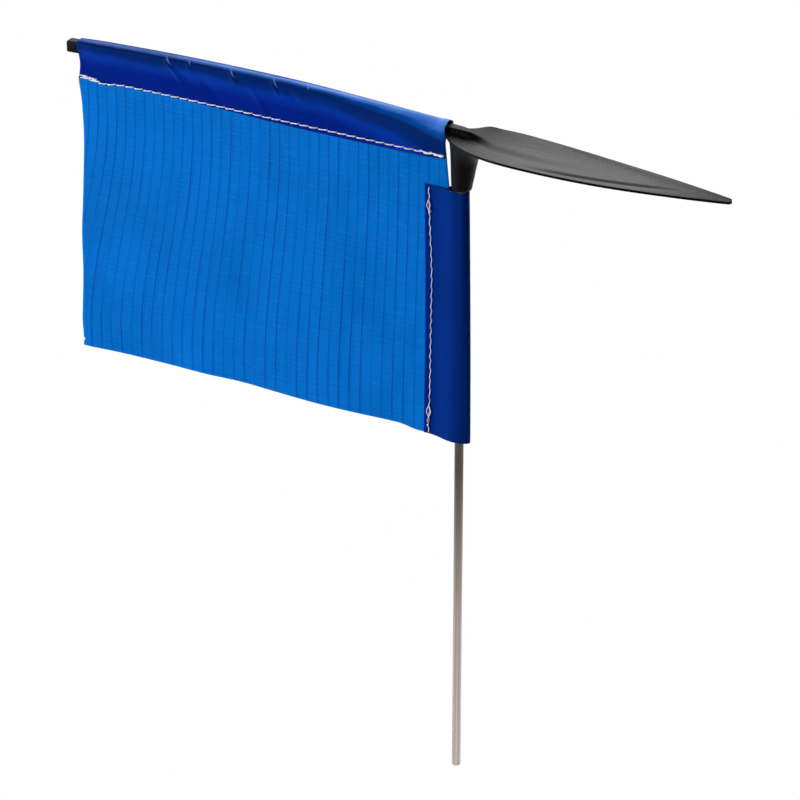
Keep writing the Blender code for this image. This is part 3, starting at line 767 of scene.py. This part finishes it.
def head_sleeve_point(s, t):
    """s runs from the tail to the hub, and t from the near edge (-Y) over the arm to the far edge."""
    turn = 2 * t - 1
    q = abs(turn)
    side = 1 if turn > 0 else -1
    tail_x = SLEEVE_LOW.x + 0.0004 * math.sin(3 * q) - 0.0007 * q**4
    front_x = SLEEVE_HIGH.x + 0.0010 - 0.0014 * q**1.6
    if side > 0:
        front_x -= 0.0012 * ease(0.2, 0.6, q)
    return head_sleeve_shape(tail_x + (front_x - tail_x) * s, q, side)


# How far noise moves the edges of the painted light and shade bands.
BAND_WOBBLE = 0.0015
# Slant and colour of the painted glints on the creases.
GLINT_SLANT = -0.95
GLINT_COLOUR = (0.26, 0.42, 0.92, 1)


def coated_cloth(name, bands, middle, widen=1.0, widen_from=0.0, widen_to=1.0, shift=0.0, painted_glints=()):
    """Tightly woven cloth under a glossy coating: a faint weave, handling marks and uneven gloss.

    Its colour runs in bands across the strip, partly the cloth's own blue and partly painted light and
    shade: a painted highlight along the fold, and painted shade below it over the arm or rod behind the
    cloth. Bands are (distance from the fold, colour), and middle is how far the fold lies from the edge.
    Towards one end the bands' distances are divided by widen, and towards the other shift draws them in
    to the fold. Painted glints are short pale marks on the creases: (along, from the edge, half length,
    half width).
    """
    material, tree, shader = add_finish(name, Specular_IOR_Level=0.04, Specular_Tint=(0.1, 0.3, 1.0, 1))
    flat = add_node(tree, "UVMap", uv_map="flat").outputs["UV"]
    tone = scaled_noise(tree, flat, (45, 130, 1), 3)
    split = add_node(tree, "SeparateXYZ", {"Vector": flat}).outputs
    # Distance from the fold, which sets where the painted highlight and shade fall: scaled by widen at one
    # end, moved by shift at the other, and wobbled by noise.
    distance = worked(tree, "ABSOLUTE", worked(tree, "SUBTRACT", split["Y"], middle))
    drawn_in = range_of(tree, split["X"], widen_from, widen_to, 1.0, widen)
    highlight_narrowing = range_of(tree, split["X"], 0.0, widen_to, shift, 0.0)
    scaled = worked(tree, "MULTIPLY_ADD", distance, drawn_in, highlight_narrowing)
    wobbled_distance = worked(tree, "MULTIPLY_ADD", tone, 2 * BAND_WOBBLE, scaled)
    share = range_of(tree, wobbled_distance, BAND_WOBBLE, middle + BAND_WOBBLE, 0.0, 1.0)
    ramp = add_node(tree, "ValToRGB", {"Fac": share})
    stops = ramp.color_ramp.elements
    stops[0].position, stops[0].color = bands[0][0] / middle, (*bands[0][1], 1)
    stops[1].position, stops[1].color = bands[-1][0] / middle, (*bands[-1][1], 1)
    for distance_out, colour in bands[1:-1]:
        stops.new(distance_out / middle).color = (*colour, 1)
    colour = ramp.outputs["Color"]
    # Painted glints: short pale marks on the creases.
    for glint_u, glint_v, half_length, half_width in painted_glints:
        place = {
            "Vector": flat,
            "Location": (glint_u, glint_v, 0),
            "Rotation": (0, 0, GLINT_SLANT),
            "Scale": (half_length, half_width, 1),
        }
        there = add_node(tree, "Mapping", place, vector_type="TEXTURE").outputs["Vector"]
        near = add_node(tree, "TexGradient", {"Vector": there}, gradient_type="SPHERICAL").outputs["Fac"]
        colour = mixed(tree, range_of(tree, near, 0.0, 1.0, 0.0, 0.5), colour, GLINT_COLOUR)
    weave = scaled_noise(tree, flat, (3200, 3200, 1), 2)
    marks = scaled_noise(tree, flat, (220, 420, 1), 4)
    shade = ramp_between(tree, tone, 0.3, 0.7, (0.88, 0.88, 0.88), (1.0, 1.0, 1.0))
    tinted = mixed(tree, 1.0, colour, shade, blend_type="MULTIPLY")
    paint(tree, shader, tinted, range_of(tree, marks, 0.3, 0.7, 0.30, 0.46))
    height = worked(tree, "MULTIPLY_ADD", weave, 0.25, marks)
    add_bump(tree, shader, height, 0.00004, 0.6)
    return material


OVER_THE_ARM = 0.0092
SLEEVE_MIDDLE_X = -0.07
sleeve_drop = arm_axis_z(SLEEVE_MIDDLE_X) - head_edge_z(SLEEVE_MIDDLE_X)
HEAD_SLEEVE_SIZE = (SLEEVE_HIGH.x - SLEEVE_LOW.x, 2 * sleeve_drop + OVER_THE_ARM)
# Painted light and shade by distance from the fold: a pale painted highlight on the fold, painted shade
# below it over the arm, and the cloth's blue, darker again towards the sewn edges.
head_light_and_shade_bands = [
    (0.0, (0.23, 0.44, 1.0)),
    (0.0008, (0.07, 0.23, 0.80)),
    (0.0018, (0.0, 0.072, 0.38)),
    (0.0031, (0.0, 0.017, 0.14)),
    (0.0056, (0.0, 0.020, 0.17)),
    (0.0076, (0.0, 0.034, 0.34)),
    (0.0094, (0.0, 0.028, 0.31)),
    (0.0116, (0.0, 0.015, 0.24)),
]
HEAD_FOLD = HEAD_SLEEVE_SIZE[1] / 2
# Painted glints where the creases near the top of the sleeve catch the light.
head_painted_glints = [
    (x - SLEEVE_LOW.x, HEAD_FOLD * (1 - q), half_length, half_width)
    for x, q, half_length, half_width in (
        (-0.1054, 0.15, 0.0021, 0.00042),
        (-0.0976, 0.11, 0.0013, 0.00036),
        (-0.0817, 0.14, 0.0018, 0.00042),
        (-0.0662, 0.13, 0.0021, 0.00046),
        (-0.0545, 0.08, 0.0012, 0.00040),
    )
]
# The painted highlight on the fold widens towards the hub end and is drawn in at the tail.
head_cloth = coated_cloth(
    "dark_blue_coated_cloth", head_light_and_shade_bands, HEAD_FOLD, 0.32, 0.092, 0.131, 0.0015, head_painted_glints
)
coated_edge = cut_edge("dark_blue_cut_edge", (0.02, 0.06, 0.35))
head_finishes = (head_cloth, coated_edge)
head_sleeve = cloth(
    "head_sleeve_cloth", (420, 60), HEAD_SLEEVE_SIZE, head_sleeve_point, head_finishes,
    SLEEVE_THICKNESS, 1.0, "head_sleeve",
)


# ---- Luff sleeve ----
# A strip of the same coated cloth folded round the rod, loose enough to turn with the flag. Its front fold
# is pressed nearly flat and widens a little towards the foot. Its edges are sewn on the panel's luff.

LUFF_LOW, LUFF_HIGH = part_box("luff_sleeve")
LUFF_LENGTH = LUFF_HIGH.z - LUFF_LOW.z
LUFF_CLEARANCE = 0.0003
LUFF_FOLD = 0.0009
LUFF_CROWDING = 1.35
LUFF_LIE_IN = 0.0020


def luff_front_x(z):
    """The front fold comes closer to the rod towards the top."""
    up = (z - LUFF_LOW.z) / LUFF_LENGTH
    return LUFF_HIGH.x + 0.0008 - 0.0012 * max(0.0, up) ** 1.5


def luff_rear_x(z):
    """The sewn edges bow forward a little at the middle."""
    up = (z - LUFF_LOW.z) / LUFF_LENGTH
    return LUFF_LOW.x + 0.0004 * math.sin(math.pi * up) - 0.0002


def luff_seam_x(z):
    """The stitching strays forward about the middle of the sleeve."""
    up = (z - LUFF_LOW.z) / LUFF_LENGTH
    return LUFF_LOW.x + 0.0016 + 0.0010 * math.sin(math.pi * up) ** 2 + 0.0002 * math.sin(11 * up)


def luff_sleeve_shape(z, q, side):
    """A point on the sleeve's inner face: q is 0 on the front fold and 1 at the sewn edge."""
    front, rear = luff_front_x(z) - SLEEVE_THICKNESS, luff_rear_x(z)
    x = front - (front - rear) * q**LUFF_CROWDING
    around = ROD_RADIUS + LUFF_CLEARANCE
    past_rod = ease(around * 0.4, front, x)
    over_rod = around * (1 - past_rod) + LUFF_FOLD * past_rod
    nose = math.sqrt(max(0.0, 1 - max(0.0, (x - front + LUFF_FOLD) / LUFF_FOLD) ** 2))
    behind = ease(-0.0006, rear + LUFF_LIE_IN, x) if x > rear + LUFF_LIE_IN else 1.0
    half = (over_rod * nose) * (1 - behind) + FLAP_OFFSET * behind
    free = math.sin(math.pi * min(1.0, q * 1.02)) ** 2
    wave = 0.00022 * free * noise.noise(Vector((z * 45, q * 2.2, side * 7.0)))
    foot_flare = 0.0004 * free * (1 - ease(LUFF_LOW.z, LUFF_LOW.z + 0.008, z))
    pulled = 0.5 + 0.5 * math.cos(math.tau * z / 0.003)
    pinch = PINCH_DEPTH * hill(x - luff_seam_x(z), 0.0008) * pulled
    return Vector((x, side * (half + wave + foot_flare - pinch), z))


def luff_sleeve_point(s, t):
    """s runs up the rod, and t from the far edge round the front fold to the near edge (-Y)."""
    turn = 2 * t - 1
    side = -1 if turn > 0 else 1
    z = LUFF_LOW.z - 0.0004 + (LUFF_LENGTH + 0.0004) * s
    return luff_sleeve_shape(z, abs(turn), side)


LUFF_SLEEVE_SIZE = (LUFF_LENGTH, 2 * (LUFF_HIGH.x - LUFF_LOW.x))
# Painted light and shade by distance from the front fold: a painted highlight on the fold, painted shade
# over the rod, and the cloth's blue beyond it.
luff_light_and_shade_bands = [
    (0.0, (0.0, 0.075, 0.48)),
    (0.0010, (0.0, 0.030, 0.24)),
    (0.0050, (0.0, 0.020, 0.165)),
    (0.0085, (0.0, 0.026, 0.22)),
    (0.0120, (0.0, 0.025, 0.23)),
    (0.0150, (0.0, 0.017, 0.20)),
]
luff_cloth = coated_cloth("dark_blue_luff_cloth", luff_light_and_shade_bands, LUFF_SLEEVE_SIZE[1] / 2)
luff_finishes = (luff_cloth, coated_edge)
luff_sleeve = cloth(
    "luff_sleeve_cloth", (240, 72), LUFF_SLEEVE_SIZE, luff_sleeve_point, luff_finishes,
    SLEEVE_THICKNESS, 1.0, "luff_sleeve",
)


# ---- Stitching ----
# White two-ply polyester thread, in a lockstitch: the needle thread shows on the near face and the bobbin
# thread on the far one. The head seam is back-tacked at both ends. The luff seam was sewn slack by hand.

PLY_PITCH = 0.0011
SAMPLE = 0.00016
HEAD_PLY_RADIUS = 0.00013
LUFF_PLY_RADIUS = 0.000095
LUFF_STITCHES = 96


def evenly(points):
    """Points a sample or so apart on a smooth curve through the given ones."""
    ends = [points[0] * 2 - points[1], *points, points[-1] * 2 - points[-2]]
    smooth = []
    for a, b, c, d in zip(ends, ends[1:], ends[2:], ends[3:]):
        steps = max(2, round((c - b).length / SAMPLE))
        for i in range(steps):
            t = i / steps
            bend = (2 * a - 5 * b + 4 * c - d) * t**2 + (3 * b - a - 3 * c + d) * t**3
            smooth.append((2 * b + (c - a) * t + bend) / 2)
    smooth.append(points[-1])
    return smooth


def add_thread(name, runs, ply_radius, node):
    """Two plies twisted round each other along each run of points."""
    curve = bpy.data.curves.new(name, "CURVE")
    curve.dimensions = "3D"
    curve.bevel_depth = ply_radius
    curve.bevel_resolution = 1
    curve.use_fill_caps = True
    for run in runs:
        line = evenly(run)
        plies = ([], [])
        travelled = 0.0
        for i, point in enumerate(line):
            ahead = line[min(i + 1, len(line) - 1)] - line[max(i - 1, 0)]
            aside = ahead.cross(Vector((0.31, 0.2, 0.93))).normalized()
            above = aside.cross(ahead).normalized()
            if i:
                travelled += (point - line[i - 1]).length
            angle = math.tau * travelled / PLY_PITCH
            swing = (aside * math.cos(angle) + above * math.sin(angle)) * ply_radius * 0.85
            plies[0].append(point + swing)
            plies[1].append(point - swing)
        for ply in plies:
            spline = curve.splines.new("POLY")
            spline.points.add(len(ply) - 1)
            for target, point in zip(spline.points, ply):
                target.co = (*point, 1)
    drawn = add_object(name + "_line", curve)
    mesh = bpy.data.meshes.new_from_object(drawn.evaluated_get(bpy.context.evaluated_depsgraph_get()))
    bpy.data.objects.remove(drawn, do_unlink=True)
    mesh.name = name
    mesh.materials.clear()
    mesh.materials.append(thread_white)
    mesh.shade_smooth()
    stand_for(add_object(name, mesh), "vane", node)


def polyester_thread(name):
    """White thread: fine filaments, a little grey in the twist, and a soft sheen."""
    material, tree, shader = add_finish(name, Specular_IOR_Level=0.3, Sheen_Weight=0.2)
    place = add_node(tree, "TexCoord").outputs["Object"]
    fibres = scaled_noise(tree, place, (7000, 7000, 7000), 2)
    colour = ramp_between(tree, fibres, 0.3, 0.65, (0.90, 0.86, 0.90), (1.0, 0.97, 1.0))
    paint(tree, shader, colour, range_of(tree, fibres, 0.3, 0.7, 0.55, 0.8))
    add_bump(tree, shader, fibres, 0.00002)
    return material


HALVINGS = 18
STITCH_ARC = (
    (0.0, -0.00030),
    (0.05, 0.00008),
    (0.25, 0.00024),
    (0.75, 0.00024),
    (0.95, 0.00008),
    (1.0, -0.00030),
)


def head_thread_point(x, above, side, lift):
    """A place on the head seam: above the stitch line by so much, and standing off the cloth by lift."""
    z = head_seam_z(x) + above
    low, high = 0.5, 1.0
    for _ in range(HALVINGS):
        q = (low + high) / 2
        if head_sleeve_shape(x, q, side).z > z:
            low = q
        else:
            high = q
    face = head_sleeve_shape(x, q, side)
    return Vector((x, face.y + side * (SLEEVE_THICKNESS + lift), z))


def head_stitch(start_x, length, rise, side, above=0.0):
    """One stitch on the face of the cloth: up through a hole, along the cloth, and down again."""
    return [
        head_thread_point(start_x + length * t, above + rise * (t - 0.5), side, lift)
        for t, lift in STITCH_ARC
    ]


def head_seam_runs(side):
    """The running stitches, and the back-tacks over the first and the last of them."""
    tail_x, hub_x = SLEEVE_LOW.x + 0.0001, SLEEVE_HIGH.x - 0.0008
    count = round((hub_x - tail_x) / STITCH_PITCH)
    pitch = (hub_x - tail_x) / count
    runs = []
    for i in range(count):
        uneven = noise.noise(Vector((i * 1.7, side * 3.0, 0.0)))
        start = tail_x + pitch * (i - 0.01)
        runs.append(head_stitch(start, pitch * (0.95 + 0.05 * uneven), 0.00036 + 0.00012 * uneven, side))
    for row in range(1, 3):
        for i in range(2):
            start = tail_x + pitch * (i - 0.05 + 0.3 * (row % 2))
            runs.append(head_stitch(start, pitch * 0.9, 0.0001 * row, side, 0.00045 * row))
    for row in (-1, 1):
        for i in range(2):
            start = hub_x - pitch * (i + 1.15 + 0.2 * row)
            runs.append(head_stitch(start, pitch * 0.85, -0.0004 * row, side, 0.0002 * row))
    return runs


thread_white = polyester_thread("white_thread")
thread_tail = [
    head_thread_point(SLEEVE_HIGH.x - back, above, -1, lift)
    for back, above, lift in (
        (0.0026, -0.00035, -0.0002),
        (0.0018, -0.00050, 0.0003),
        (0.0010, -0.00020, 0.0005),
        (0.0003, 0.00035, 0.0006),
    )
]
head_near_runs = [*head_seam_runs(-1), thread_tail]
add_thread("head_needle_stitches", head_near_runs, HEAD_PLY_RADIUS, "head_needle_thread")
add_thread("head_bobbin_stitches", head_seam_runs(1), HEAD_PLY_RADIUS, "head_bobbin_thread")


def luff_thread_point(z, forward, side, lift):
    """A place on the luff seam: ahead of the stitch line by so much, and off the cloth by lift."""
    x = luff_seam_x(z) + forward
    front, rear = luff_front_x(z) - SLEEVE_THICKNESS, luff_rear_x(z)
    q = ((front - x) / (front - rear)) ** (1 / LUFF_CROWDING)
    face = luff_sleeve_shape(z, min(1.0, q), side)
    return Vector((x, face.y + side * (SLEEVE_THICKNESS + lift), z))


def luff_seam_run(side):
    """A slack running stitch: the thread hardly dips into the cloth, and sways from stitch to stitch."""
    low, high = LUFF_LOW.z + 0.0004, LUFF_HIGH.z - 0.0008
    points = []
    for i in range(LUFF_STITCHES + 1):
        z = low + (high - low) * i / LUFF_STITCHES
        dip = 0.00012 if i % 2 else 0.00026
        sway = 0.00013 if i % 4 < 2 else -0.00009
        sway += 0.00012 * noise.noise(Vector((i * 0.31, side, 5.0)))
        points.append(luff_thread_point(z, sway, side, dip))
    return points


def eye_loop(z, height, width, side):
    """A slack loop: two strands that part and meet again."""
    return [
        [
            luff_thread_point(z + height * t, direction * width / 2 * out, side, 0.0004 + 0.0002 * out)
            for t, out in ((-0.5, 0.0), (-0.25, 0.8), (0.05, 1.0), (0.3, 0.65), (0.5, 0.05))
        ]
        for direction in (-1, 1)
    ]


def knot(z, side):
    """A small overhand knot, drawn tight into a bead."""
    return [
        luff_thread_point(
            z + 0.00032 * math.sin(angle * 1.5),
            0.0003 + 0.00034 * math.cos(angle),
            side,
            0.0005 + 0.0003 * math.sin(angle),
        )
        for angle in (math.tau * i / 8 for i in range(17))
    ]


UPPER_KNOT_Z = LUFF_HIGH.z - 0.0092
LOWER_LOOP_Z = LUFF_LOW.z + 0.0082
loose_end = [
    luff_thread_point(LUFF_LOW.z + above, ahead, -1, lift)
    for above, ahead, lift in (
        (0.0062, 0.0002, 0.0004),
        (0.0048, -0.0003, 0.0005),
        (0.0036, 0.0001, 0.0005),
        (0.0026, -0.0005, 0.0004),
        (0.0031, -0.0002, 0.0006),
        (0.0016, 0.0003, 0.0004),
        (0.0002, 0.0001, 0.0004),
    )
]
luff_near_runs = [
    luff_seam_run(-1),
    knot(UPPER_KNOT_Z, -1),
    *eye_loop(UPPER_KNOT_Z + 0.0022, 0.0034, 0.0011, -1),
    *eye_loop(LOWER_LOOP_Z, 0.0040, 0.0014, -1),
    loose_end,
]
add_thread("luff_needle_stitches", luff_near_runs, LUFF_PLY_RADIUS, "luff_needle_thread")
add_thread("luff_bobbin_stitches", [luff_seam_run(1)], LUFF_PLY_RADIUS, "luff_bobbin_thread")


# ---- Studio ----
# A pale floor well below the object, and a backdrop that looks evenly white from anywhere. A soft light
# hangs above and behind, and a key stands low at the left. The camera is above the tail's near side.

FLOOR_Z = -0.40
FLOOR_HALF = 6.0
BACKDROP_WHITE = 1.0
ROOM_LIGHT = 0.03

floor_white, floor_tree, floor_shader = add_finish(
    "floor_white", Base_Color=(0.92, 0.92, 0.92, 1), Roughness=0.9, Specular_IOR_Level=0.1
)
floor_seen = add_node(floor_tree, "LightPath").outputs["Is Camera Ray"]
even = add_node(floor_tree, "Emission", {"Strength": BACKDROP_WHITE}).outputs["Emission"]
floor_mix = add_node(floor_tree, "MixShader", {0: floor_seen, 1: floor_shader.outputs["BSDF"], 2: even})
floor_tree.links.new(floor_mix.outputs["Shader"], floor_tree.nodes["Material Output"].inputs["Surface"])
floor_bm = bmesh.new()
floor_place = Matrix.Translation((0, 0, FLOOR_Z))
bmesh.ops.create_grid(floor_bm, x_segments=1, y_segments=1, size=FLOOR_HALF, matrix=floor_place)
floor_mesh = closed_mesh("floor", floor_bm)
floor_mesh.materials.append(floor_white)
add_object("floor", floor_mesh)

world = bpy.data.worlds.new("studio")
bpy.context.scene.world = world
world.use_nodes = True
room = world.node_tree
background = room.nodes["Background"]
background.inputs["Color"].default_value = (1, 1, 1, 1)
world_seen = add_node(room, "LightPath").outputs["Is Camera Ray"]
world_light = range_of(room, world_seen, 0.0, 1.0, ROOM_LIGHT, BACKDROP_WHITE)
room.links.new(world_light, background.inputs["Strength"])


def bearing(azimuth, elevation):
    """The direction at so many degrees round from the near side (-Y) and so many up."""
    around, up = math.radians(azimuth), math.radians(elevation)
    return Vector((math.sin(around) * math.cos(up), -math.cos(around) * math.cos(up), math.sin(up)))


def aim(thing, place, target):
    """Puts a lamp or camera at a place and turns it towards a target."""
    thing.location = place
    thing.rotation_euler = (Vector(target) - Vector(place)).to_track_quat("-Z", "Y").to_euler()


def add_softbox(name, place, target, size, radiance, spread=180):
    """A square soft light, its size in metres and its spread in degrees."""
    light = bpy.data.lights.new(name, "AREA")
    light.shape = "SQUARE"
    light.size = size
    light.energy = radiance * math.pi * size**2
    light.spread = math.radians(spread)
    aim(add_object(name, light), place, target)


LIT_POINT = Vector((0, 0, 0.2))
LIGHT_DISTANCE = 1.5
back_place = LIT_POINT + bearing(207, 45) * LIGHT_DISTANCE
key_place = LIT_POINT + bearing(-50, 5) * LIGHT_DISTANCE
add_softbox("back_light", back_place, LIT_POINT, 1.6, 4.2)
add_softbox("key", key_place, LIT_POINT, 0.8, 2.4, 70)
add_softbox("floor_light", (-0.55, 1.1, 0.55), (-0.55, 1.1, FLOOR_Z), 1.1, 3.7, 120)
add_softbox("front_floor_light", (0.22, -0.44, -0.1), (0.22, -0.44, FLOOR_Z), 0.4, 0.7, 100)

VIEW_POINT = Vector((-0.021798, 0, 0.138408))
VIEW_DISTANCE = 1.15334
lens = bpy.data.cameras.new("camera")
lens.lens = 157.5
lens.sensor_width = 36.0
camera = add_object("camera", lens)
aim(camera, VIEW_POINT + bearing(27, 29) * VIEW_DISTANCE, VIEW_POINT)
bpy.context.scene.camera = camera
bpy.context.scene.view_settings.view_transform = "Standard"
